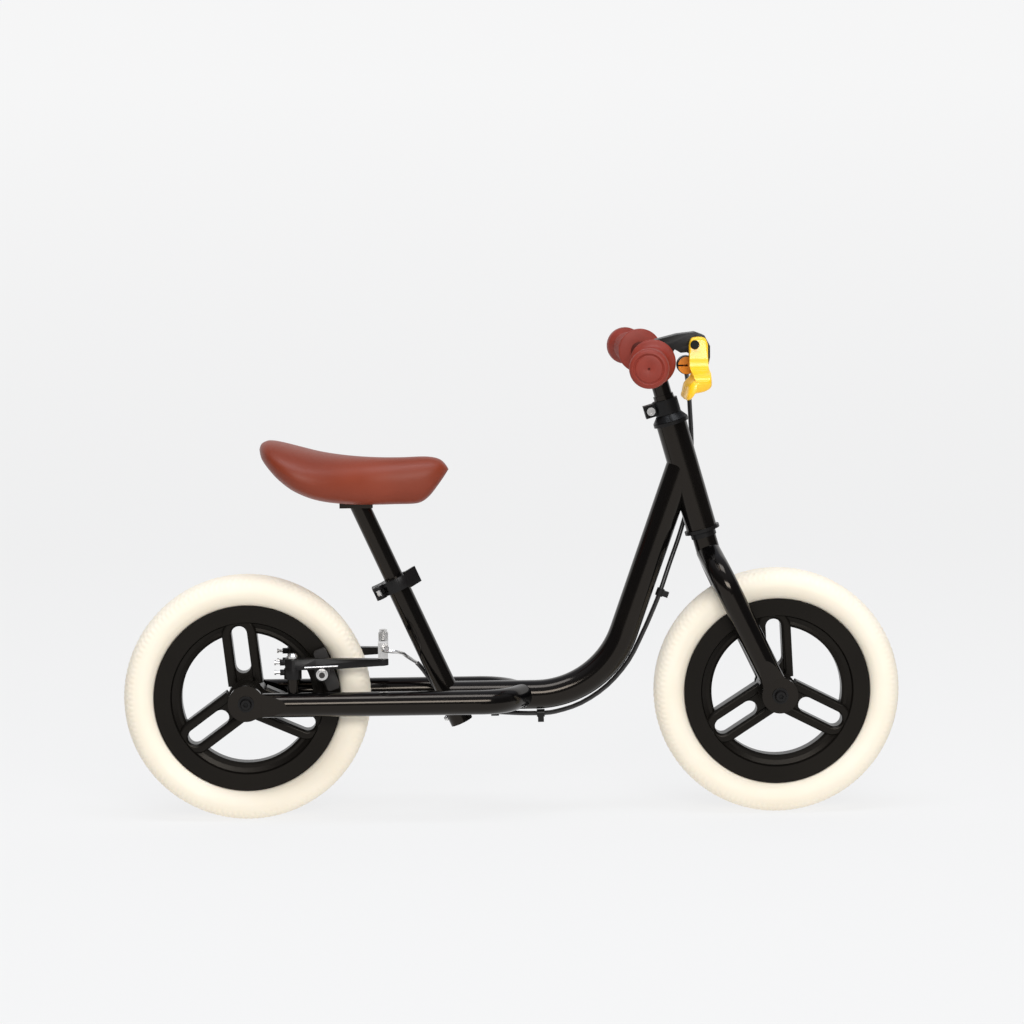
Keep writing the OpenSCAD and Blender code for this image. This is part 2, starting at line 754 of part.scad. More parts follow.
module axle_bolts(spread) {
    outer = spread / 2 + dropout_t / 2;
    for (side = [-1, 1]) translate([0, side * (outer + 0.05), 0]) rotate([side * -90, 0, 0])
        socket_head(12, 16.4, bolt_d - 1.4, 18);
}

module rear_axle() {
    color("silver") translate([rear_x, 0, axle_z]) axle(stay_spread);
}

module rear_axle_spacers() {
    color("black") translate([rear_x, 0, axle_z]) axle_spacers(stay_spread);
}

module rear_axle_bolts() {
    color("black") translate([rear_x, 0, axle_z]) axle_bolts(stay_spread);
}

module front_axle() {
    color("silver") translate([front_x, 0, axle_z]) axle(fork_spread);
}

module front_axle_spacers() {
    color("black") translate([front_x, 0, axle_z]) axle_spacers(fork_spread);
}

module front_axle_bolts() {
    color("black") translate([front_x, 0, axle_z]) axle_bolts(fork_spread);
}

// ---- wheels ----

// one rounded spoke loop in the wheel's plane, pointing along +X, Z along the axle
module spoke_loop() {
    inner_x = hub_r + 14;
    outer_x = rim_r - brake_face_w + 6 - spoke_slot / 2 - spoke_band;
    mid = (spoke_slot + spoke_band) / 2;
    deep = 23;
    edge = 3.5;
    for (side = [-1, 1]) translate([hub_r - 6, side * mid, 0]) rotate([90, 0, 90])
        linear_extrude(height = outer_x - hub_r + 6) round_rect(spoke_band, deep, edge);
    translate([outer_x, 0, 0]) rotate([0, 0, -90]) rotate_extrude(angle = 180)
        translate([mid, 0]) round_rect(spoke_band, deep, edge);
    // web between the loop's inner end and the hub
    translate([inner_x / 2, 0, 0]) cube([inner_x, 2 * mid, deep - 6], center = true);
}

// the long hole inside a spoke loop
module spoke_hole() {
    inner_x = hub_r + 14;
    outer_x = rim_r - brake_face_w + 6 - spoke_slot / 2 - spoke_band;
    for (x = [inner_x, outer_x]) translate([x, 0, 0]) cylinder(d = spoke_slot, h = 60, center = true);
    translate([(inner_x + outer_x) / 2, 0, 0]) cube([outer_x - inner_x, spoke_slot, 60], center = true);
}

module rim(x, turn) {
    ring_r = rim_r - brake_face_w;
    inner_r = ring_r - 11.5;
    half = rim_w / 2;
    bead_r = rim_r - 7;
    bearing_d = 22;
    color([0.08, 0.08, 0.08]) translate([x, 0, axle_z]) rotate([90, 0, 0]) difference() {
        union() {
            // braking flange with a channel for the tyre, and the dished ring inside it
            rotate_extrude() polygon([
                [ring_r, -half], [rim_r, -half], [rim_r, -half + 3], [bead_r, -half + 4],
                [bead_r, half - 4], [rim_r, half - 3], [rim_r, half], [ring_r, half],
                [ring_r - 1.5, half - 3.5], [ring_r - 6, half - 5.5], [inner_r + 2.5, half - 5],
                [inner_r, half - 6.5], [inner_r, -half + 6.5], [inner_r + 2.5, -half + 5],
                [ring_r - 6, -half + 5.5], [ring_r - 1.5, -half + 3.5]
            ]);
            for (i = [0 : 2]) rotate([0, 0, turn + 120 * i]) spoke_loop();
            cylinder(r = hub_r, h = 34, center = true);
            cylinder(r = hub_r - 4, h = hub_len - 1, center = true);
        }
        for (i = [0 : 2]) rotate([0, 0, turn + 120 * i]) spoke_hole();
        // bore round the axle, with a seat for a bearing at each end
        cylinder(d = axle_d + 3, h = hub_len + 2, center = true);
        for (side = [-1, 1]) translate([0, 0, side * (hub_len / 2 - 3)])
            cylinder(d = bearing_d + 2 * seat_gap, h = 8, center = true);
    }
}

module tyre(x) {
    half = tyre_w / 2;
    bead = rim_w / 2;
    bead_r = rim_r - 7 + seat_gap;
    top = axle_z - 0.8;
    profile = [
        [bead_r, 0], [bead_r, bead - 5], [rim_r + 0.1, bead - 3.4], [rim_r + 0.1, bead - 0.5],
        [rim_r + 4, half - 4.5], [rim_r + 9, half - 1.2], [rim_r + 14, half], [rim_r + 19, half - 1.5],
        [rim_r + 24, half - 6], [top - 2.5, half - 11], [top, half - 16], [axle_z, 0]
    ];
    other = [for (i = [len(profile) - 2 : -1 : 1]) [profile[i][0], -profile[i][1]]];
    color([0.96, 0.92, 0.84]) translate([x, 0, axle_z]) rotate([90, 0, 0])
        rotate_extrude($fn = 128) polygon(concat(profile, other));
}

module bearings(x) {
    color("silver") translate([x, 0, axle_z]) for (side = [-1, 1])
        translate([0, side * (hub_len / 2 - 3.5), 0]) rotate([90, 0, 0]) difference() {
            cylinder(d = 22, h = 7, center = true);
            cylinder(d = axle_d + 0.1, h = 8, center = true);
        }
}

module front_rim() { rim(front_x, 93); }
module front_tyre() { tyre(front_x); }
module front_bearings() { bearings(front_x); }
module rear_rim() { rim(rear_x, 96.5); }
module rear_tyre() { tyre(rear_x); }
module rear_bearings() { bearings(rear_x); }

// ---- handlebar ----

module bar_path(d) {
    translate([bar_x, 0, bar_z]) y_cyl(d - run_step, -bar_flat - run_in, bar_flat + run_in);
    for (side = [-1, 1]) mirror([0, side > 0 ? 0 : 1, 0]) {
        translate([bar_x - bar_bend_r, bar_flat, bar_z])
            rotate_extrude(angle = bar_sweep) translate([bar_bend_r, 0]) circle(d = d);
        on_bar(1) run(d, bar_arm - 5);
    }
}

module handlebar_stem() {
    color("black") difference() {
        on_steering() translate([0, 0, stem_low]) ring(stem_od, stem_od - 3, bar_up - stem_low);
        bar_path(bar_od + 2 * seat_gap);
    }
}

module handlebar_bar() {
    color("black") difference() {
        bar_path(bar_od);
        for (side = [-1, 1]) on_bar(side) translate([0, 0, bar_arm - 5 - 60])
            cylinder(d = bar_od - 3, h = 61);
    }
}

module grip(side) {
    flange_t = 4;
    knob_l = 13;
    ribs = 9;
    rib_step = (grip_len - flange_t - knob_l - 12) / ribs;
    color([0.55, 0.2, 0.16]) on_bar(side) translate([0, 0, grip_from]) difference() {
        union() {
            cylinder(r = grip_r - 1, h = grip_len - 3);
            cylinder(r1 = grip_flange_r - 1, r2 = grip_flange_r, h = flange_t / 2);
            translate([0, 0, flange_t / 2]) cylinder(r1 = grip_flange_r, r2 = grip_r, h = 6);
            for (i = [0 : ribs - 1]) translate([0, 0, flange_t + 6 + i * rib_step])
                cylinder(r = grip_r, h = rib_step * 0.55);
            translate([0, 0, grip_len - knob_l - 4]) cylinder(r1 = grip_r, r2 = grip_knob_r, h = 4);
            translate([0, 0, grip_len - knob_l]) cylinder(r = grip_knob_r, h = knob_l - 2);
            translate([0, 0, grip_len - 2]) cylinder(r1 = grip_knob_r, r2 = grip_knob_r - 2, h = 2);
        }
        translate([0, 0, -1]) cylinder(d = bar_od + 2 * seat_gap, h = grip_len - 4);
        // groove round the raised disc on the end
        translate([0, 0, grip_len - 1.8]) ring(2 * (grip_knob_r - 3), 2 * (grip_knob_r - 6), 3);
        translate([0, 0, grip_len - 6]) cylinder(d = 2.4, h = 8);
    }
}

module right_grip() { grip(-1); }
module left_grip() { grip(1); }

// ---- brake lever on the bar ----

// outline of the lever's bracket in the XZ plane, counted from the bar's centre
perch_side = [
    [-7, 11], [-2, 21.5], [20, 27], [38, 29], [47, 25.5], [52.5, 15], [52.5, 4], [50, -8], [48.2, -19],
    [43, -19], [40, -10], [36, -3], [35, 6], [29, 9], [23, 8.5], [17, 12], [12, 4], [10, 0]
];

module brake_lever_body() {
    color("black") difference() {
        union() {
            translate([bar_x, perch_y1, bar_z]) rotate([90, 0, 0]) linear_extrude(height = perch_y1 - perch_y0)
                polygon(perch_side);
            translate([grip_axis_x, 0, bar_z]) y_cyl(bar_od + 9, perch_y0, perch_y1);
            translate([adjust_x, 0, adjust_z]) y_cyl(18.8, perch_y1 - 12, perch_y1);
            translate([adjust_x, perch_y1 - 12, adjust_z - 4]) cube([16, 12, 8]);
        }
        bar_path(bar_od + 2 * seat_gap);
        translate([lever_px, 0, lever_pz]) y_cyl(lever_pin_d, perch_y0 - 1, perch_y1 + 1);
        translate([adjust_x, 0, adjust_z]) {
            y_cyl(7.1, perch_y1 - 13, perch_y1 + 1);
            y_cyl(18.4, perch_y0 - 1, perch_y1 - 12.1);
        }
    }
}

// the lever's pivot pin with its cap, and the screw that clamps the bracket to the bar
module brake_lever_pins() {
    color([0.15, 0.12, 0.12]) {
        translate([lever_px, 0, lever_pz]) {
            y_cyl(lever_pin_d - 0.1, -93, perch_y1);
            y_cyl(9, -95, -92.6);
        }
        translate([grip_axis_x, -69, bar_z - bar_od / 2 - 4.55]) rotate([180, 0, 0]) difference() {
            cylinder(d = 7, h = 3.5);
            translate([0, 0, 1.5]) cylinder(d = 3.6, h = 3, $fn = 6);
        }
    }
}

module cable_adjuster() {
    color([1, 0.5, 0.05]) translate([adjust_x, 0, adjust_z]) difference() {
        union() {
            y_cyl(17.4, perch_y1 - 17, perch_y1 - 12.2);
            y_cyl(7, perch_y1 - 12.3, perch_y1 + 0.9);
        }
        y_cyl(2.4, perch_y1 - 18, perch_y1 + 2);
        // slot that lets the wire in
        translate([-10, perch_y1 - 18, -0.9]) cube([10, 6.6, 1.8]);
    }
}

module cable_front() {
    color("black") route_tube(0, route_clip, cable_od);
}

// outline of the hand lever's blade in the XZ plane, counted from its pivot
blade_side = [
    [-7, 6], [0, 9.2], [7, 6.5], [10.5, -2], [11, -20], [10.8, -38], [6, -43.5], [-1, -46.5], [-7, -51],
    [-11.5, -53.5], [-13.5, -49], [-11, -40], [-10, -32], [-7.5, -22], [-7.6, -8]
];

module brake_lever() {
    blade_y0 = -140;
    plate_y0 = -92.4;
    color([1, 0.8, 0.1]) translate([lever_px, 0, lever_pz]) difference() {
        union() {
            translate([0, perch_y0 - move_gap, 0]) rotate([90, 0, 0])
                linear_extrude(height = perch_y0 - move_gap - plate_y0) polygon(closed_curve(blade_side, 4));
            // finger blade, in front of the grip
            intersection() {
                translate([0, perch_y0 - move_gap, 0]) rotate([90, 0, 0])
                    linear_extrude(height = perch_y0 - move_gap - blade_y0) polygon(closed_curve(blade_side, 4));
                translate([-20, blade_y0, -60]) cube([40, 70, 36]);
            }
        }
        y_cyl(lever_pin_d, -100, perch_y0 + 1);
        // hollow behind the finger blade
        translate([-16, blade_y0 + 8, -44]) cube([19, -blade_y0 - 106, 28]);
    }
}

// ---- rear brake ----

module arm(side) {
    lug_w = 15;
    lug_t = 9.4;
    tip_r = 5.5;
    color("black") translate([pivot_x, side * pivot_y, 0]) difference() {
        union() {
            intersection() {
                translate([0, 0, arm_z]) linear_extrude(height = arm_t) {
                    polygon([[0, -boss_r + 1], [24, -arm_w / 2], [arm_len, -arm_w / 2],
                             [arm_len, arm_w / 2], [24, arm_w / 2], [0, boss_r - 1]]);
                    circle(r = boss_r - 1);
                    translate([arm_len, 0]) circle(r = tip_r);
                }
                // the arm thins towards its tip
                rotate([90, 0, 0]) linear_extrude(height = 30, center = true)
                    polygon([[-12, arm_z - 1], [40, arm_z], [arm_len + 8, arm_z + 3.5],
                             [arm_len + 8, arm_z + 9.5], [20, arm_z + arm_t], [-12, arm_z + arm_t]]);
            }
            translate([0, 0, arm_z - boss_h]) cylinder(r = boss_r, h = boss_h + 1);
            // lug that carries the pad
            translate([stud_x - pivot_x, 0, 0]) {
                y_cyl_at(stud_z, lug_w, lug_t);
                translate([-lug_w / 2, -lug_t / 2, stud_z]) cube([lug_w, lug_t, arm_z + 5 - stud_z]);
            }
            // stubs for the two spring screws
            for (z = [-3, 7]) translate([-boss_r - 4, 0, arm_z + z]) rotate([0, 90, 0])
                cylinder(d = 6, h = 6);
        }
        translate([0, 0, arm_z - boss_h - 1]) cylinder(d = pivot_d + 0.1, h = arm_t + boss_h + 3);
        translate([stud_x - pivot_x, 0, stud_z]) y_cyl(6.2, -20, 20);
        translate([arm_len, 0, arm_z]) cylinder(d = 4.1, h = 20);
    }
}

module y_cyl_at(z, d, t) {
    translate([0, 0, z]) y_cyl(d, -t / 2, t / 2);
}

// rubber block set along the rim, with its moulded stud
module pad(side) {
    inner = rim_w / 2 + pad_gap;
    color([0.1, 0.1, 0.1]) mirror([0, side > 0 ? 0 : 1, 0]) {
        translate([rear_x, 0, axle_z]) rotate([0, -pad_turn, 0]) translate([pad_r, inner, 0])
            rotate([-90, 0, 0]) difference() {
                linear_extrude(height = pad_t) round_rect(pad_h, pad_len, 3);
                for (k = [-1, 0, 1]) translate([-pad_h, k * 11 - 1, -1]) cube([2 * pad_h, 2, 2.5]);
            }
        translate([stud_x, 0, stud_z]) y_cyl(6, inner + pad_t - 0.5, pivot_y + 11);
    }
}

// shaped washer behind the pad, and washer and nut outside the arm
module pad_nut(side) {
    inner = rim_w / 2 + pad_gap + pad_t;
    color("silver") mirror([0, side > 0 ? 0 : 1, 0]) translate([stud_x, 0, stud_z]) difference() {
        union() {
            y_cyl(11.5, inner + 0.2, pivot_y - 4.8);
            y_cyl(12, pivot_y + 4.8, pivot_y + 6);
            translate([0, pivot_y + 6, 0]) rotate([-90, 0, 0]) cylinder(d = 10.5, h = 4.5, $fn = 6);
        }
        y_cyl(6.1, inner - 1, pivot_y + 20);
    }
}

// return spring along the outside of the arm, and the two screws that set it
module brake_spring(side) {
    wire_d = 1.8;
    color("silver") translate([pivot_x, side * pivot_y, 0]) {
        translate([boss_r + 3, side * (boss_r - 1.7), arm_z + 2.6]) rotate([0, 88, 0])
            cylinder(d = wire_d, h = 34);
        for (z = [-3, 7]) translate([-boss_r - 4.1, 0, arm_z + z]) rotate([0, -90, 0]) {
            cylinder(d = 3, h = 4);
            translate([0, 0, 4]) cylinder(d = 5, h = 1.6);
        }
    }
}

// holder at the right arm's tip, which takes the end of the noodle
module cable_link() {
    color("silver") translate([tip_x, -pivot_y, 0]) difference() {
        union() {
            translate([0, 0, arm_z + 4]) cylinder(d = 4, h = 8);
            translate([-5, -3, arm_z + 10.2]) cube([10, 14, link_z - arm_z - 4.2]);
            translate([0, -3, link_z]) rotate([90, 0, 0]) cylinder(d = 6, h = 2, $fn = 6);
        }
        translate([0, 0, link_z]) y_cyl(2.6, -8, 20);
    }
}

module brake_noodle() {
    color([0.5, 0.42, 0.36]) route_tube(route_noodle, route_end, noodle_od);
}

module noodle_boot() {
    start = -pivot_y + 11.3;
    step = 5;
    color([0.2, 0.15, 0.12]) translate([tip_x, 0, link_z]) difference() {
        for (i = [0 : 5]) translate([0, start + i * step, 0]) rotate([-90, 0, 0])
            cylinder(d1 = 9 - i * 0.5, d2 = 7 - i * 0.5, h = step);
        y_cyl(2.6, start - 1, start + 40);
        translate([-2.2, start - 1, -2.2]) cube([8, 5.4, 4.4]);
    }
}

module cable_anchor() {
    color("silver") translate([tip_x, pivot_y, 0]) difference() {
        union() {
            translate([0, 0, arm_z + 4]) cylinder(d = 4, h = 8);
            translate([-5, -4, arm_z + 10.2]) cube([10, 8, link_z - arm_z - 5.2]);
            translate([0, 0, link_z + 5]) cylinder(d = 8, h = 3.2, $fn = 6);
        }
        translate([0, 0, link_z]) y_cyl(1.8, -8, 20);
    }
}

module brake_wire() {
    color("silver") translate([tip_x, 0, link_z]) y_cyl(1.6, -pivot_y + 17, pivot_y + 9);
}

module right_stay() { stay(-1); }
module left_stay() { stay(1); }
module right_fork_blade() { fork_blade(-1); }
module left_fork_blade() { fork_blade(1); }
module right_brake_arm() { arm(-1); }
module left_brake_arm() { arm(1); }
module right_brake_pad() { pad(-1); }
module left_brake_pad() { pad(1); }
module right_pad_nut() { pad_nut(-1); }
module left_pad_nut() { pad_nut(1); }
module right_brake_spring() { brake_spring(-1); }
module left_brake_spring() { brake_spring(1); }

main_tube();
head_tube();
seat_tube();
right_stay();
left_stay();
brake_posts();
brake_pivot_bolts();
headset_cups();
headset_bearings();
cable_clips();
cable_main();
cable_rear();
foot_screw();
seat_clamp_collar();
seat_clamp_bolt();
rear_axle();
rear_axle_spacers();
rear_axle_bolts();
seat_clamp_lever();
seat_post();
saddle_base();
saddle_cushion();
saddle_screws();
fork_steerer();
right_fork_blade();
left_fork_blade();
headset_cones();
handlebar_collar();
handlebar_collar_bolt();
front_axle();
front_axle_spacers();
front_axle_bolts();
handlebar_stem();
handlebar_bar();
right_grip();
left_grip();
brake_lever_body();
brake_lever_pins();
cable_adjuster();
cable_front();
brake_lever();
front_rim();
front_tyre();
front_bearings();
rear_rim();
rear_tyre();
rear_bearings();
right_brake_arm();
right_brake_pad();
right_pad_nut();
right_brake_spring();
cable_link();
brake_noodle();
noodle_boot();
left_brake_arm();
left_brake_pad();
left_pad_nut();
left_brake_spring();
cable_anchor();
brake_wire();
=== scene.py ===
import bpy
import bmesh
import json
import math
from mathutils import Matrix, Vector


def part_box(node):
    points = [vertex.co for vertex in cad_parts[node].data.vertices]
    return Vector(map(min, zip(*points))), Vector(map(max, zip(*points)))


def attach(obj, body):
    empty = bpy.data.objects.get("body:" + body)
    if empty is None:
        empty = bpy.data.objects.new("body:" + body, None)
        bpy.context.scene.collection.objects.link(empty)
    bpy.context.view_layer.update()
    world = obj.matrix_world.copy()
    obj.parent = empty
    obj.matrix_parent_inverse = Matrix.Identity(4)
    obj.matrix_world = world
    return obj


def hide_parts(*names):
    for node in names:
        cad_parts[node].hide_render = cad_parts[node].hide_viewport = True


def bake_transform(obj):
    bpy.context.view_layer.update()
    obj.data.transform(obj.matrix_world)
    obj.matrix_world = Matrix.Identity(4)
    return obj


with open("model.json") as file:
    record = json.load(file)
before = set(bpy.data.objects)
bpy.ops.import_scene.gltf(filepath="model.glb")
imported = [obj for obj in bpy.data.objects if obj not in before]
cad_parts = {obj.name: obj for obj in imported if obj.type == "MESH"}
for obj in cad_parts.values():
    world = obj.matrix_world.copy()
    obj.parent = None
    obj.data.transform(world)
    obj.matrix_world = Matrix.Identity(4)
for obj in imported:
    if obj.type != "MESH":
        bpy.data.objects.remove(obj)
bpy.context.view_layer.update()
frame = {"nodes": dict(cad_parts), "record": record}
record = frame["record"]
print("frame loaded with", len(frame["nodes"]), "nodes")

# camera
# A long lens a few metres off the bike's right side, a little above it
camera = {"place": (-0.111, -3.489, 0.709), "yaw": 1.84, "pitch": 6.44, "roll": -0.51, "lens": 120.2}

camData = bpy.data.cameras.new("cam")
camData.sensor_width = 36
camData.lens = camera["lens"]
camData.clip_end = 60
cam = bpy.data.objects.new("cam", camData)
bpy.context.collection.objects.link(cam)
turn = Matrix.Rotation(math.radians(-camera["yaw"]), 4, "Z")
nod = Matrix.Rotation(math.radians(90 - camera["pitch"]), 4, "X")
tip = Matrix.Rotation(math.radians(camera["roll"]), 4, "Z")
cam.matrix_world = Matrix.Translation(camera["place"]) @ turn @ nod @ tip
bpy.context.scene.camera = cam


# small helpers
def mid(name):
    low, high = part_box(name)
    return (Vector(low) + Vector(high)) / 2


def addMesh(name, verts, faces, material, smooth=True):
    mesh = bpy.data.meshes.new(name)
    mesh.from_pydata([tuple(v) for v in verts], [], faces)
    mesh.validate()
    bm = bmesh.new()
    bm.from_mesh(mesh)
    bmesh.ops.recalc_face_normals(bm, faces=bm.faces)
    bm.to_mesh(mesh)
    bm.free()
    for p in mesh.polygons:
        p.use_smooth = smooth
    mesh.materials.append(material)
    obj = bpy.data.objects.new(name, mesh)
    bpy.context.collection.objects.link(obj)
    return obj


def bake(obj):
    # turn the modifiers into plain mesh
    bpy.context.view_layer.update()
    deps = bpy.context.evaluated_depsgraph_get()
    mesh = bpy.data.meshes.new_from_object(obj.evaluated_get(deps))
    obj.modifiers.clear()
    obj.data = mesh
    return obj


def sharpen(obj, degrees=35):
    obj.data.set_sharp_from_angle(angle=math.radians(degrees))


def soften(obj, width, segments=3, angle=30):
    # rounded edges all over, then flat faces shaded flat
    bev = obj.modifiers.new("bev", "BEVEL")
    bev.width = width
    bev.segments = segments
    bev.limit_method = "ANGLE"
    bev.angle_limit = math.radians(angle)
    bev.harden_normals = True
    return bake(obj)


def ringsToMesh(rings, closedEnds=True):
    # rings of equal length joined one to the next
    n = len(rings[0])
    verts = [v for ring in rings for v in ring]
    faces = []
    for i in range(len(rings) - 1):
        for k in range(n):
            a, b = i * n + k, i * n + (k + 1) % n
            faces.append((a, b, b + n, a + n))
    if closedEnds:
        faces.append(tuple(range(n - 1, -1, -1)))
        faces.append(tuple(range((len(rings) - 1) * n, len(rings) * n)))
    return verts, faces


def spline(points, steps):
    # a smooth route through the points
    pts = [Vector(p) for p in points]
    out = []
    for i in range(len(pts) - 1):
        a, b, c, d = pts[max(i - 1, 0)], pts[i], pts[i + 1], pts[min(i + 2, len(pts) - 1)]
        for s in range(steps):
            t = s / steps
            out.append(0.5 * (2 * b + (c - a) * t + (2 * a - 5 * b + 4 * c - d) * t * t
                              + (3 * b - a - 3 * c + d) * t ** 3))
    out.append(pts[-1])
    return out


def sweep(name, route, radius, sides, material):
    # a round tube along a route, with a side direction carried along so it doesn't twist
    rings = []
    side = None
    for i, p in enumerate(route):
        ahead = (route[min(i + 1, len(route) - 1)] - route[max(i - 1, 0)]).normalized()
        if side is None:
            side = ahead.cross(Vector((0, 0, 1))).normalized()
        side = (side - ahead * side.dot(ahead)).normalized()
        up = ahead.cross(side)
        r = radius(i / (len(route) - 1)) if callable(radius) else radius
        rings.append([p + side * r * math.cos(2 * math.pi * k / sides)
                      + up * r * math.sin(2 * math.pi * k / sides) for k in range(sides)])
    verts, faces = ringsToMesh(rings)
    obj = addMesh(name, verts, faces, material)
    sharpen(obj, 50)
    return obj


def lathe(name, profile, place, axis, material, sides=96, sharp=40):
    # profile is (distance along axis, radius)
    axis = Vector(axis).normalized()
    side = axis.cross(Vector((0.3, 0.1, 1))).normalized()
    up = axis.cross(side)
    rings = []
    for along, r in profile:
        rings.append([Vector(place) + axis * along + (side * math.cos(2 * math.pi * k / sides)
                      + up * math.sin(2 * math.pi * k / sides)) * max(r, 0.00005) for k in range(sides)])
    verts, faces = ringsToMesh(rings)
    obj = addMesh(name, verts, faces, material)
    sharpen(obj, sharp)
    return obj


# materials
def startMaterial(name):
    mat = bpy.data.materials.new(name)
    mat.use_nodes = True
    nodes = mat.node_tree.nodes
    return mat, nodes, mat.node_tree.links, nodes["Principled BSDF"]


def addNoise(nodes, links, scale, detail=4, coords="Object"):
    tc = nodes.new("ShaderNodeTexCoord")
    tex = nodes.new("ShaderNodeTexNoise")
    tex.inputs["Scale"].default_value = scale
    tex.inputs["Detail"].default_value = detail
    links.new(tc.outputs[coords], tex.inputs["Vector"])
    return tex


def addRamp(nodes, links, source, stops):
    ramp = nodes.new("ShaderNodeValToRGB")
    while len(ramp.color_ramp.elements) < len(stops):
        ramp.color_ramp.elements.new(0.5)
    for e, (at, col) in zip(ramp.color_ramp.elements, stops):
        e.position = at
        e.color = (*col, 1)
    links.new(source, ramp.inputs["Fac"])
    return ramp


def addBump(nodes, links, shader, height, strength, distance):
    bump = nodes.new("ShaderNodeBump")
    bump.inputs["Strength"].default_value = strength
    bump.inputs["Distance"].default_value = distance
    links.new(height, bump.inputs["Height"])
    links.new(bump.outputs["Normal"], shader.inputs["Normal"])
    return bump


def surface(name, dark, light, rough, grain, bumpDepth, coat=0.0, metallic=0.0, specular=0.5,
            roughSpread=0.06, mottle=6, sheen=0.0, coatRough=0.05, tint=(1, 1, 1)):
    # colour drifts between two close shades, roughness drifts too, fine grain in the bump
    mat, nodes, links, shader = startMaterial(name)
    broad = addNoise(nodes, links, mottle, 5)
    ramp = addRamp(nodes, links, broad.outputs["Fac"], [(0.3, dark), (0.7, light)])
    links.new(ramp.outputs["Color"], shader.inputs["Base Color"])
    fine = addNoise(nodes, links, grain, 6)
    spread = nodes.new("ShaderNodeMapRange")
    spread.inputs["To Min"].default_value = rough - roughSpread
    spread.inputs["To Max"].default_value = rough + roughSpread
    links.new(fine.outputs["Fac"], spread.inputs["Value"])
    links.new(spread.outputs["Result"], shader.inputs["Roughness"])
    addBump(nodes, links, shader, fine.outputs["Fac"], 1.0, bumpDepth)
    shader.inputs["Metallic"].default_value = metallic
    shader.inputs["Coat Weight"].default_value = coat
    shader.inputs["Coat Roughness"].default_value = coatRough
    shader.inputs["Specular IOR Level"].default_value = specular
    shader.inputs["Specular Tint"].default_value = (*tint, 1)
    shader.inputs["Sheen Weight"].default_value = sheen
    return mat


paint = surface("framePaint", (0.0015, 0.0015, 0.0018), (0.004, 0.0034, 0.003), 0.13, 900, 0.00001,
                roughSpread=0.03, mottle=12, specular=0.3, tint=(1, 0.88, 0.76))
satinBlack = surface("satinBlack", (0.003, 0.003, 0.003), (0.007, 0.006, 0.006), 0.34, 1400, 0.00002,
                     roughSpread=0.05, mottle=40, specular=0.22)
blackPlastic = surface("blackPlastic", (0.004, 0.004, 0.004), (0.009, 0.008, 0.008), 0.4, 2200, 0.00003,
                       roughSpread=0.05, mottle=30, specular=0.25)
rimPlastic = surface("rimPlastic", (0.003, 0.0026, 0.0022), (0.006, 0.005, 0.004), 0.3, 1800, 0.00002,
                     roughSpread=0.05, mottle=10, specular=0.17, tint=(1, 0.92, 0.82))
brightSteel = surface("brightSteel", (0.5, 0.49, 0.48), (0.7, 0.69, 0.68), 0.25, 2500, 0.00001,
                      metallic=1, roughSpread=0.08, mottle=60)
jacket = surface("cableJacket", (0.008, 0.008, 0.008), (0.016, 0.014, 0.014), 0.35, 1200, 0.00001,
                 mottle=80)
padRubber = surface("padRubber", (0.012, 0.011, 0.010), (0.022, 0.018, 0.016), 0.6, 2500, 0.00004,
                    mottle=80)
yellow = surface("yellowPlastic", (0.96, 0.52, 0.005), (1.0, 0.6, 0.015), 0.36, 1600, 0.00001, coat=0.3,
                 mottle=30)
orange = surface("orangePlastic", (0.65, 0.19, 0.0), (0.8, 0.26, 0.005), 0.35, 1600, 0.00001, mottle=60)
gripRubber = surface("gripRubber", (0.2, 0.024, 0.013), (0.26, 0.033, 0.019), 0.5, 3000, 0.00004,
                     roughSpread=0.08, mottle=60, specular=0.3)


def creamFoam():
    # closed-cell foam: even cream with tiny pits
    mat, nodes, links, shader = startMaterial("creamTyre")
    broad = addNoise(nodes, links, 18, 6)
    ramp = addRamp(nodes, links, broad.outputs["Fac"], [(0.3, (0.92, 0.83, 0.68)),
                                                        (0.7, (0.95, 0.87, 0.73))])
    pits = nodes.new("ShaderNodeTexVoronoi")
    tc = nodes.new("ShaderNodeTexCoord")
    links.new(tc.outputs["Object"], pits.inputs["Vector"])
    pits.inputs["Scale"].default_value = 900
    links.new(ramp.outputs["Color"], shader.inputs["Base Color"])
    fine = addNoise(nodes, links, 700, 5)
    mix = nodes.new("ShaderNodeMath")
    mix.operation = "ADD"
    links.new(pits.outputs["Distance"], mix.inputs[0])
    links.new(fine.outputs["Fac"], mix.inputs[1])
    addBump(nodes, links, shader, mix.outputs[0], 0.6, 0.00006)
    rough = nodes.new("ShaderNodeMapRange")
    rough.inputs["To Min"].default_value = 0.55
    rough.inputs["To Max"].default_value = 0.75
    links.new(fine.outputs["Fac"], rough.inputs["Value"])
    links.new(rough.outputs["Result"], shader.inputs["Roughness"])
    shader.inputs["Specular IOR Level"].default_value = 0.3
    shader.inputs["Subsurface Weight"].default_value = 0.1
    shader.inputs["Subsurface Radius"].default_value = (0.004, 0.003, 0.002)
    return mat


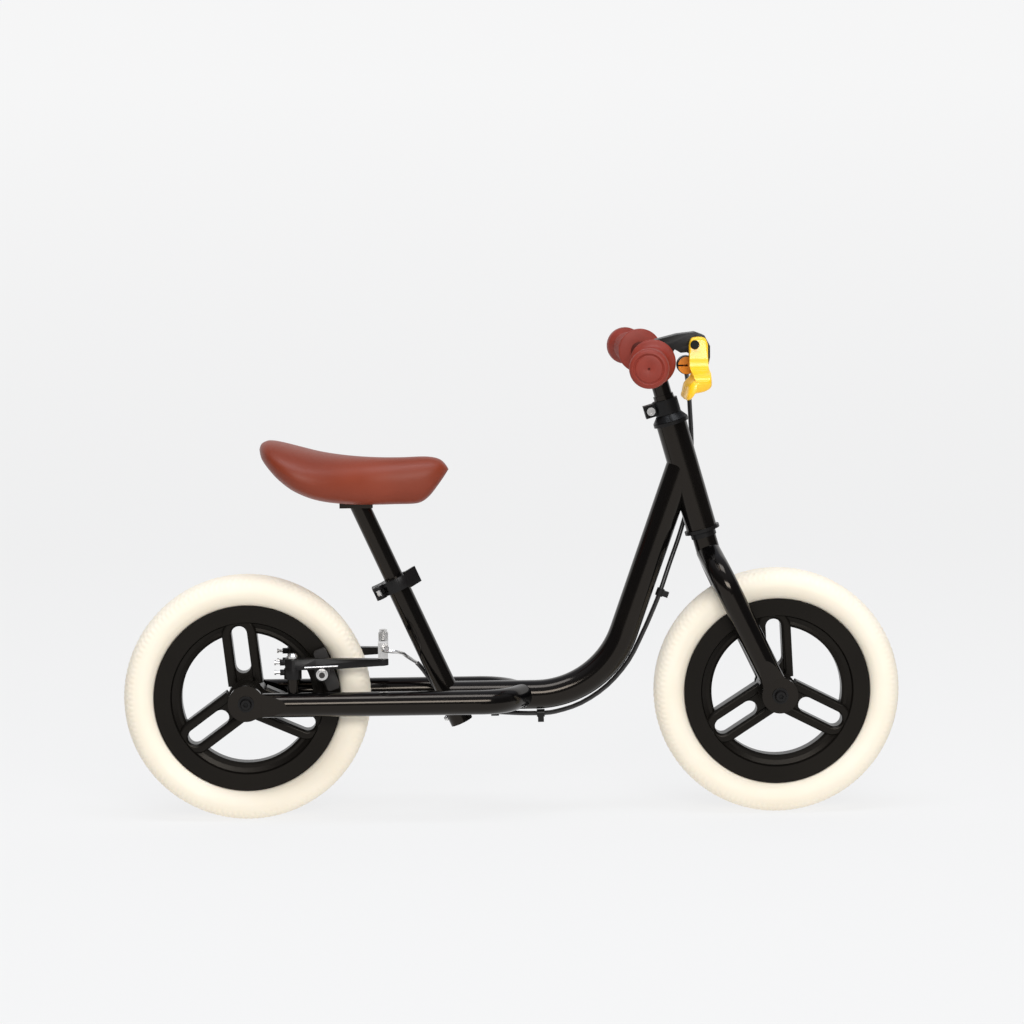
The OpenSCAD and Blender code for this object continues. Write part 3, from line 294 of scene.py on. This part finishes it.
def saddleLeather():
    # chestnut grain: small cells of uneven size, with fine pores between them
    mat, nodes, links, shader = startMaterial("saddleLeather")
    broad = addNoise(nodes, links, 14, 5)
    ramp = addRamp(nodes, links, broad.outputs["Fac"], [(0.3, (0.19, 0.03, 0.011)),
                                                        (0.7, (0.235, 0.04, 0.016))])
    tc = nodes.new("ShaderNodeTexCoord")
    warp = addNoise(nodes, links, 160, 3)
    mixIn = nodes.new("ShaderNodeMix")
    mixIn.data_type = "VECTOR"
    mixIn.inputs["Factor"].default_value = 0.012
    links.new(tc.outputs["Object"], mixIn.inputs["A"])
    links.new(warp.outputs["Color"], mixIn.inputs["B"])
    cells = nodes.new("ShaderNodeTexVoronoi")
    cells.feature = "DISTANCE_TO_EDGE"
    cells.inputs["Scale"].default_value = 620
    links.new(mixIn.outputs["Result"], cells.inputs["Vector"])
    soft = nodes.new("ShaderNodeMapRange")
    soft.inputs["From Max"].default_value = 0.25
    soft.interpolation_type = "SMOOTHSTEP"
    links.new(cells.outputs["Distance"], soft.inputs["Value"])
    links.new(ramp.outputs["Color"], shader.inputs["Base Color"])
    addBump(nodes, links, shader, soft.outputs["Result"], 0.35, 0.0001)
    rough = nodes.new("ShaderNodeMapRange")
    rough.inputs["To Min"].default_value = 0.5
    rough.inputs["To Max"].default_value = 0.4
    links.new(soft.outputs["Result"], rough.inputs["Value"])
    links.new(rough.outputs["Result"], shader.inputs["Roughness"])
    shader.inputs["Specular IOR Level"].default_value = 0.28
    shader.inputs["Coat Weight"].default_value = 0.03
    shader.inputs["Coat Roughness"].default_value = 0.35
    return mat


cream = creamFoam()
leather = saddleLeather()

bySlot = {
    "frame_paint": paint, "black_metal": satinBlack, "bright_steel": brightSteel,
    "black_plastic": blackPlastic, "rim_plastic": rimPlastic, "cable_jacket": jacket,
    "pad_rubber": padRubber, "cream_tyre": cream, "grip_rubber": gripRubber,
    "saddle_leather": leather, "orange_plastic": orange, "yellow_plastic": yellow,
}
for part in record["subparts"]:
    node = frame["nodes"][part["node"]]
    for ms in node.material_slots:
        ms.link = "OBJECT"
        ms.material = bySlot[part["material_slot"]]
print("materials are on the CAD nodes")


# tyres
# Foam tyre: round shoulders, and rows of small blocks round the tread
tyre = {"knobs": 132, "knobHeight": 0.0007, "rows": 9, "treadStart": 0.0205,
        # half section: mm out from the rim's edge, share of the half width
        "section": [(-6.5, 0.38), (-1, 0.46), (0.4, 0.56), (1.2, 0.64), (3.5, 0.79), (7.5, 0.925),
                    (12.5, 0.995), (16.5, 1), (20.5, 0.955), (24, 0.86), (26.5, 0.74), (28.3, 0.59), (29.3, 0.43),
                    (29.9, 0.27), (30.1, 0.1)]}


def makeTyre(name, centre, outer, width, rimRadius, body):
    half = width / 2
    section = tyre["section"]
    curve = spline([Vector((rimRadius + r / 1000, half * share, 0)) for r, share in section], 3)
    full = [(p.x, p.y) for p in curve] + [(p.x, -p.y) for p in reversed(curve)]
    around = tyre["knobs"] * 4
    top = outer - tyre["knobHeight"]
    rings = []
    for k in range(around):
        a = 2 * math.pi * k / around
        ring = []
        for r, y in full:
            onTread = r > rimRadius + tyre["treadStart"]
            lift = 0
            if onTread:
                row = int((y / half + 1) * tyre["rows"] / 2)
                edge = abs(((y / half + 1) * tyre["rows"] / 2) % 1 - 0.5)
                phase = (k + (2 if row % 2 else 0)) % 4
                block = 1 if phase in (1, 2) else 0
                lift = tyre["knobHeight"] * block * (1 if edge < 0.4 else 0.5)
            scale = (top - rimRadius) / (section[-1][0] / 1000)
            rr = rimRadius + (r - rimRadius) * scale if r > rimRadius else r
            rr += lift
            ring.append(Vector(centre) + Vector((rr * math.cos(a), y, rr * math.sin(a))))
        rings.append(ring)
    n = len(full)
    verts = [v for ring in rings for v in ring]
    faces = []
    for k in range(around):
        nxt = (k + 1) % around
        for i in range(n):
            j = (i + 1) % n
            faces.append((k * n + i, nxt * n + i, nxt * n + j, k * n + j))
    obj = addMesh(name, verts, faces, cream)
    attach(obj, body)
    return obj


for end in ("front", "rear"):
    low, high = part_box(end + "_tyre")
    rimLow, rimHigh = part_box(end + "_rim")
    c = mid(end + "_tyre")
    made = makeTyre(end + "Tyre", c, (high[2] - low[2]) / 2, high[1] - low[1], (rimHigh[2] - rimLow[2]) / 2,
                    end + "_wheel")
    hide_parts(end + "_tyre")
print("tyres built")


# saddle
# Crowned shell: a spine from tail to nose, and a section at each place along it
saddle = {"stations": 64, "around": 72, "drop": 0.0026}

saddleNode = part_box("saddle_cushion")
sLow, sHigh = Vector(saddleNode[0]), Vector(saddleNode[1])
saddleMid = (sLow + sHigh) / 2


def through(points, x):
    # value at x of a smooth line through (x, value) points
    if x <= points[0][0]:
        return points[0][1]
    for i in range(len(points) - 1):
        if x <= points[i + 1][0]:
            a = points[max(i - 1, 0)]
            b, c = points[i], points[i + 1]
            d = points[min(i + 2, len(points) - 1)]
            t = (x - b[0]) / (c[0] - b[0])
            span = c[0] - b[0]
            mb = (c[1] - a[1]) / (c[0] - a[0]) * span if c[0] != a[0] else 0
            mc = (d[1] - b[1]) / (d[0] - b[0]) * span if d[0] != b[0] else 0
            return ((2 * t ** 3 - 3 * t ** 2 + 1) * b[1] + (t ** 3 - 2 * t ** 2 + t) * mb
                    + (-2 * t ** 3 + 3 * t ** 2) * c[1] + (t ** 3 - t ** 2) * mc)
    return points[-1][1]


# outline along the middle: share of length from the tail, height above the saddle's lowest point
topLine = [(0, 0.059), (0.005, 0.0625), (0.015, 0.0650), (0.05, 0.0675), (0.11, 0.0660), (0.2, 0.0615),
           (0.32, 0.0555), (0.45, 0.0515), (0.6, 0.0492), (0.75, 0.0487), (0.87, 0.0493), (0.93, 0.0480),
           (0.965, 0.0450), (0.99, 0.0395), (1, 0.036)]
lowLine = [(0, 0.057), (0.006, 0.0515), (0.015, 0.0475), (0.05, 0.0385), (0.1, 0.0280), (0.18, 0.0162),
           (0.3, 0.0065), (0.45, 0.0016), (0.6, 0.0), (0.72, 0.0), (0.83, 0.0005), (0.87, 0.0035),
           (0.905, 0.0095), (0.945, 0.0195), (0.975, 0.0275), (1, 0.035)]
halfWide = [(0, 0.004), (0.012, 0.0220), (0.04, 0.0370), (0.09, 0.0490), (0.17, 0.0570), (0.25, 0.0578),
            (0.35, 0.0530), (0.47, 0.0430), (0.58, 0.0335), (0.7, 0.0275), (0.82, 0.0245), (0.9, 0.0215),
            (0.955, 0.0160), (0.99, 0.0080), (1, 0.003)]


def makeSaddle():
    start = sLow.x + 0.003
    length = sHigh.x + 0.004 - start
    rings = []
    for s in range(saddle["stations"] + 1):
        u = 0.5 - 0.5 * math.cos(math.pi * s / saddle["stations"])
        top = sLow.z - saddle["drop"] + through(topLine, u)
        low = sLow.z - saddle["drop"] / 2 + through(lowLine, u)
        wide = through(halfWide, u)
        ring = []
        for k in range(saddle["around"]):
            a = 2 * math.pi * k / saddle["around"]
            ca, sa = math.cos(a), math.sin(a)
            # square-shouldered below, softly domed above
            p = 2.35 if sa > 0 else 3.2
            y = wide * math.copysign(abs(ca) ** (2 / p), ca)
            h = abs(sa) ** (2 / p)
            centre = low + (top - low) * 0.46
            z = centre + (top - centre) * h if sa > 0 else centre - (centre - low) * h
            # the wings droop a little below the middle
            z -= 0.006 * (abs(y) / 0.058) ** 2 * (1 if sa > 0 else 0.0) * max(0, 1 - u * 1.1)
            ring.append(Vector((start + length * u, saddleMid.y + y, z)))
        rings.append(ring)
    verts, faces = ringsToMesh(rings)
    obj = addMesh("saddleCover", verts, faces, leather)
    sub = obj.modifiers.new("sub", "SUBSURF")
    sub.levels = 1
    sub.render_levels = 1
    return bake(obj)


cover = makeSaddle()
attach(cover, "seat")
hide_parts("saddle_cushion")
print("saddle built")


# grips
grip = {"ribs": 9, "ribDepth": 0.0007, "sweepBack": 6.5, "length": 0.096,
        "knob": 0.0195, "flange": 0.023, "body": 0.015,
        # inner flange: mm along, mm from the flange's radius
        "flangeEdge": [(0, -1.4), (0.4, -0.6), (1.2, 0), (2.4, 0), (3.4, -0.8), (4, -2)],
        # end knob with its groove and dished face: mm back from the tip, mm from the knob's radius
        "knobEdge": [(14.5, -1.2), (13, -0.2), (11, 0), (7.6, 0.1), (7.2, -0.6), (6.2, -0.6), (5.8, 0.1),
                     (3, -0.2), (1.4, -1.1), (0.4, -2.8), (0.1, -4.2), (1, -5), (1.1, -5.8), (0.3, -6.4), (0, -7.4)]}


def makeGrip(name, side):
    # the grip lies along the bar: its axis goes from the flange to the knob
    low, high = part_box(name)
    sweepBack = math.radians(grip["sweepBack"])
    axis = Vector((-math.sin(sweepBack), side * math.cos(sweepBack), 0))
    knobR, flangeR, bodyR, length = grip["knob"], grip["flange"], grip["body"], grip["length"]
    outer = high[1] if side > 0 else low[1]
    tipY = outer - side * knobR * 0.9 * math.sin(sweepBack)
    endX = low[0] + knobR * math.cos(sweepBack)
    tip = Vector((endX, tipY, (low[2] + high[2]) / 2))
    start = tip - axis * length
    prof = [(0, 0.0098)] + [(along / 1000, flangeR + r / 1000) for along, r in grip["flangeEdge"]]
    prof += [(0.0050, bodyR + 0.0035), (0.0065, bodyR + 0.0012), (0.0085, bodyR)]
    first, last = 0.0100, length - 0.0215
    step = (last - first) / grip["ribs"]
    for i in range(grip["ribs"]):
        a = first + i * step
        prof += [(a, bodyR), (a + step * 0.12, bodyR + 0.0003), (a + step * 0.5, bodyR + 0.0004),
                 (a + step * 0.74, bodyR + 0.0001), (a + step * 0.82, bodyR - grip["ribDepth"]),
                 (a + step * 0.95, bodyR - grip["ribDepth"])]
    prof += [(last, bodyR), (length - 0.0185, bodyR + 0.0006), (length - 0.0165, bodyR + 0.0022)]
    prof += [(length - back / 1000, knobR + r / 1000) for back, r in grip["knobEdge"]]
    prof += [(length, 0.0018), (length - 0.0003, 0.0012), (length - 0.003, 0.0011)]
    obj = lathe(name.replace("_g", "G"), prof, start, axis, gripRubber, 112, 60)
    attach(obj, "handlebar")
    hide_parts(name)


makeGrip("right_grip", -1)
makeGrip("left_grip", 1)
print("grips built")


# brake lever
# Side outline in mm from its pivot: round head, then the finger blade with its toe
lever = {"outline": [(13.3, -8), (13, 1), (9.6, 7.2), (4, 9.3), (-1.8, 7), (-5.2, 1), (-5.4, -8), (-5, -18),
                     (-4, -23), (-2.8, -27), (-4.2, -31.5), (-8, -35.5), (-10.8, -39.5), (-12.2, -46),
                     (-13.3, -50.5), (-12, -53), (-9, -53), (-7.2, -50), (-5.2, -47.4), (-1, -46.2),
                     (5.5, -44.8), (11, -42.2), (13.8, -38.5), (14, -33), (13.5, -24), (13.4, -16)],
         "headDepth": 0.0125, "middle": (3, -36)}


def pivotOf(name):
    for j in record["behaviour"]["joints"]:
        if j["name"] == name:
            return Vector(j["pos_m"])


def makeLever():
    low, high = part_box("brake_lever")
    pivot = pivotOf("hand_lever_pivot")
    outline = spline([Vector((x, z, 0)) for x, z in lever["outline"] + lever["outline"][:1]], 4)[:-1]
    inner, outer, step = high[1], low[1], high[1] - lever["headDepth"]
    # place along the bar, highest point of the outline there, share of its full size
    stations = [(inner, 10, 0.9), (inner - 0.0006, 10, 0.965), (inner - 0.0018, 10, 1),
                (step + 0.0018, 10, 1), (step + 0.0006, 9, 0.985), (step, 7, 0.96),
                (step - 0.0012, -12, 0.985), (step - 0.004, -21, 1), (step - 0.012, -24, 1),
                (outer + 0.012, -26, 0.97), (outer + 0.005, -28, 0.92), (outer + 0.0016, -29.5, 0.84),
                (outer, -32, 0.7)]
    cx, cz = lever["middle"]
    rings = []
    for y, cap, share in stations:
        ring = []
        for p in outline:
            z = p.y if p.y < cap - 4 else cap - 4 * math.exp(-(p.y - cap + 4) / 8)
            z = min(z, p.y)
            ring.append(pivot + Vector((cx + (p.x - cx) * share, 0, cz + (z - cz) * share)) / 1000)
            ring[-1].y = y
        rings.append(ring)
    verts, faces = ringsToMesh(rings)
    obj = addMesh("brakeLever", verts, faces, yellow)
    sharpen(obj, 55)
    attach(obj, "hand_lever")
    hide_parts("brake_lever")


makeLever()
print("brake lever built")


# cords that cross a joint
# Routes in mm, with one point more at an end that runs on. The front route is cut into two pieces at frontJoin
cableRadius = 0.0024
frontRoute = [(175, -57, 469.5), (176, -44, 468), (179, -24, 459), (183, -2, 441), (186, 15, 415),
              (188, 23, 385), (188, 25, 350), (184, 24, 318), (175, 17, 288), (164, 7, 260),
              (153, 0, 230), (144, 0, 208)]
frontJoin = 5
rearRoute = [(-18, 11, 105.5), (-44, 20, 106), (-59, 21, 110), (-73, 21, 122), (-84, 20, 138),
             (-92, 16, 150), (-98, 9, 158), (-103, -5, 163.5)]


def makeCord(name, route, radius, look, node):
    obj = sweep(name, route, radius, 20, look)
    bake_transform(obj)
    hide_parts(node)


def makeCables():
    steps = 8
    points = [Vector(p) / 1000 for p in frontRoute]
    route = spline(points, steps)
    cut, stop = frontJoin * steps, (len(points) - 2) * steps
    makeCord("cableUpper", route[:cut + 1], cableRadius, jacket,
             "cable_front")
    makeCord("cableLower", route[cut:stop + 1], cableRadius, jacket,
             "cable_front")
    points = [Vector(p) / 1000 for p in rearRoute]
    route = spline(points, steps)[steps:(len(points) - 2) * steps + 1]
    makeCord("cableBehind", route, cableRadius, jacket,
             "cable_rear")


def makeBrakeWire():
    low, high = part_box("brake_wire")
    radius = (high[2] - low[2]) / 2
    centre = mid("brake_wire")
    for body, tipY in (("right_arm", low[1]), ("left_arm", high[1])):
        tip = Vector((centre.x, tipY, centre.z))
        route = [centre.lerp(tip, k / 16) for k in range(17)]
        makeCord("wire" + body.split("_")[0].title(), route, radius, brightSteel,
                 "brake_wire")


makeCables()
makeBrakeWire()
print("cords built")


# edges of small castings and clamps, softened
def rounded(name, width, body, material):
    bm = bmesh.new()
    bm.from_mesh(frame["nodes"][name].data)
    bmesh.ops.remove_doubles(bm, verts=bm.verts, dist=0.00002)
    bmesh.ops.dissolve_limit(bm, angle_limit=math.radians(2), verts=bm.verts, edges=bm.edges)
    mesh = bpy.data.meshes.new(name + "Soft")
    bm.to_mesh(mesh)
    bm.free()
    for p in mesh.polygons:
        p.use_smooth = True
    mesh.materials.clear()
    mesh.materials.append(material)
    obj = bpy.data.objects.new(name + "Soft", mesh)
    obj.matrix_world = frame["nodes"][name].matrix_world.copy()
    bpy.context.collection.objects.link(obj)
    soften(obj, width, 3, 32)
    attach(obj, body)
    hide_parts(name)


rounded("right_brake_arm", 0.0012, "right_arm", satinBlack)
rounded("left_brake_arm", 0.0012, "left_arm", satinBlack)
rounded("brake_lever_body", 0.0014, "handlebar", blackPlastic)
rounded("seat_clamp_lever", 0.0016, "seat_lever", satinBlack)
print("edges softened")


# light and floor
studio = {"pale": (0.11, 0.11, 0.11), "glow": ((0.0, 0.79), (0.8, 0.855)), "sweepStart": 2.2,
          "sweepRadius": 2.5, "wallTop": 5.0}

world = bpy.data.worlds.new("studio")
bpy.context.scene.world = world
world.use_nodes = True
wNodes, wLinks = world.node_tree.nodes, world.node_tree.links
wCoord = wNodes.new("ShaderNodeTexCoord")
wSplit = wNodes.new("ShaderNodeSeparateXYZ")
wLinks.new(wCoord.outputs["Generated"], wSplit.inputs[0])
wRamp = addRamp(wNodes, wLinks, wSplit.outputs["Z"],
                [(0.0, (0.1, 0.095, 0.09)), (0.5, (0.14, 0.14, 0.15)), (0.72, (0.4, 0.42, 0.48))])
wLinks.new(wRamp.outputs["Color"], wNodes["Background"].inputs["Color"])
wNodes["Background"].inputs["Strength"].default_value = 1.0


def addLight(name, place, aim, size, power, colour=(1, 1, 1)):
    data = bpy.data.lights.new(name, "AREA")
    data.shape = "RECTANGLE"
    data.size, data.size_y = size
    data.energy = power
    data.color = colour
    obj = bpy.data.objects.new(name, data)
    obj.location = place
    obj.rotation_euler = (Vector(aim) - Vector(place)).to_track_quat("-Z", "Y").to_euler()
    bpy.context.collection.objects.link(obj)
    return obj


addLight("over", (0.0, -0.7, 2.6), (0, 0, 0.2), (2.2, 0.9), 42, (0.9, 0.94, 1))
addLight("front", (0.5, -4.6, 2.2), (0, 0, 0.25), (3.0, 1.2), 140, (1, 0.99, 0.97))

# floor that sweeps up into the wall behind
floorMat, nodes, links, shader = startMaterial("floor")
dust = addNoise(nodes, links, 2, 3)
floorRamp = addRamp(nodes, links, dust.outputs["Fac"],
                    [(0.0, tuple(c * 0.995 for c in studio["pale"])), (1.0, studio["pale"])])
links.new(floorRamp.outputs["Color"], shader.inputs["Base Color"])
shader.inputs["Roughness"].default_value = 1.0
shader.inputs["Specular IOR Level"].default_value = 0.0
shader.inputs["Emission Strength"].default_value = 1.0
floorCoord = nodes.new("ShaderNodeTexCoord")
floorSplit = nodes.new("ShaderNodeSeparateXYZ")
links.new(floorCoord.outputs["Object"], floorSplit.inputs[0])
glow = addRamp(nodes, links, floorSplit.outputs["Z"], [(at, (v, v, v)) for at, v in studio["glow"]])
links.new(glow.outputs["Color"], shader.inputs["Emission Color"])
profile = [(-9.0, 0.0), (studio["sweepStart"], 0.0)]
for i in range(1, 13):
    a = math.pi / 2 * i / 12
    profile.append((studio["sweepStart"] + studio["sweepRadius"] * math.sin(a),
                    studio["sweepRadius"] * (1 - math.cos(a))))
profile.append((studio["sweepStart"] + studio["sweepRadius"], studio["wallTop"]))
verts = [(x, y, z) for y, z in profile for x in (-9, 9)]
faces = [(2 * i, 2 * i + 1, 2 * i + 3, 2 * i + 2) for i in range(len(profile) - 1)]
floor = addMesh("floor", verts, faces, floorMat)
bpy.context.scene.view_settings.view_transform = "Standard"
print("studio ready")
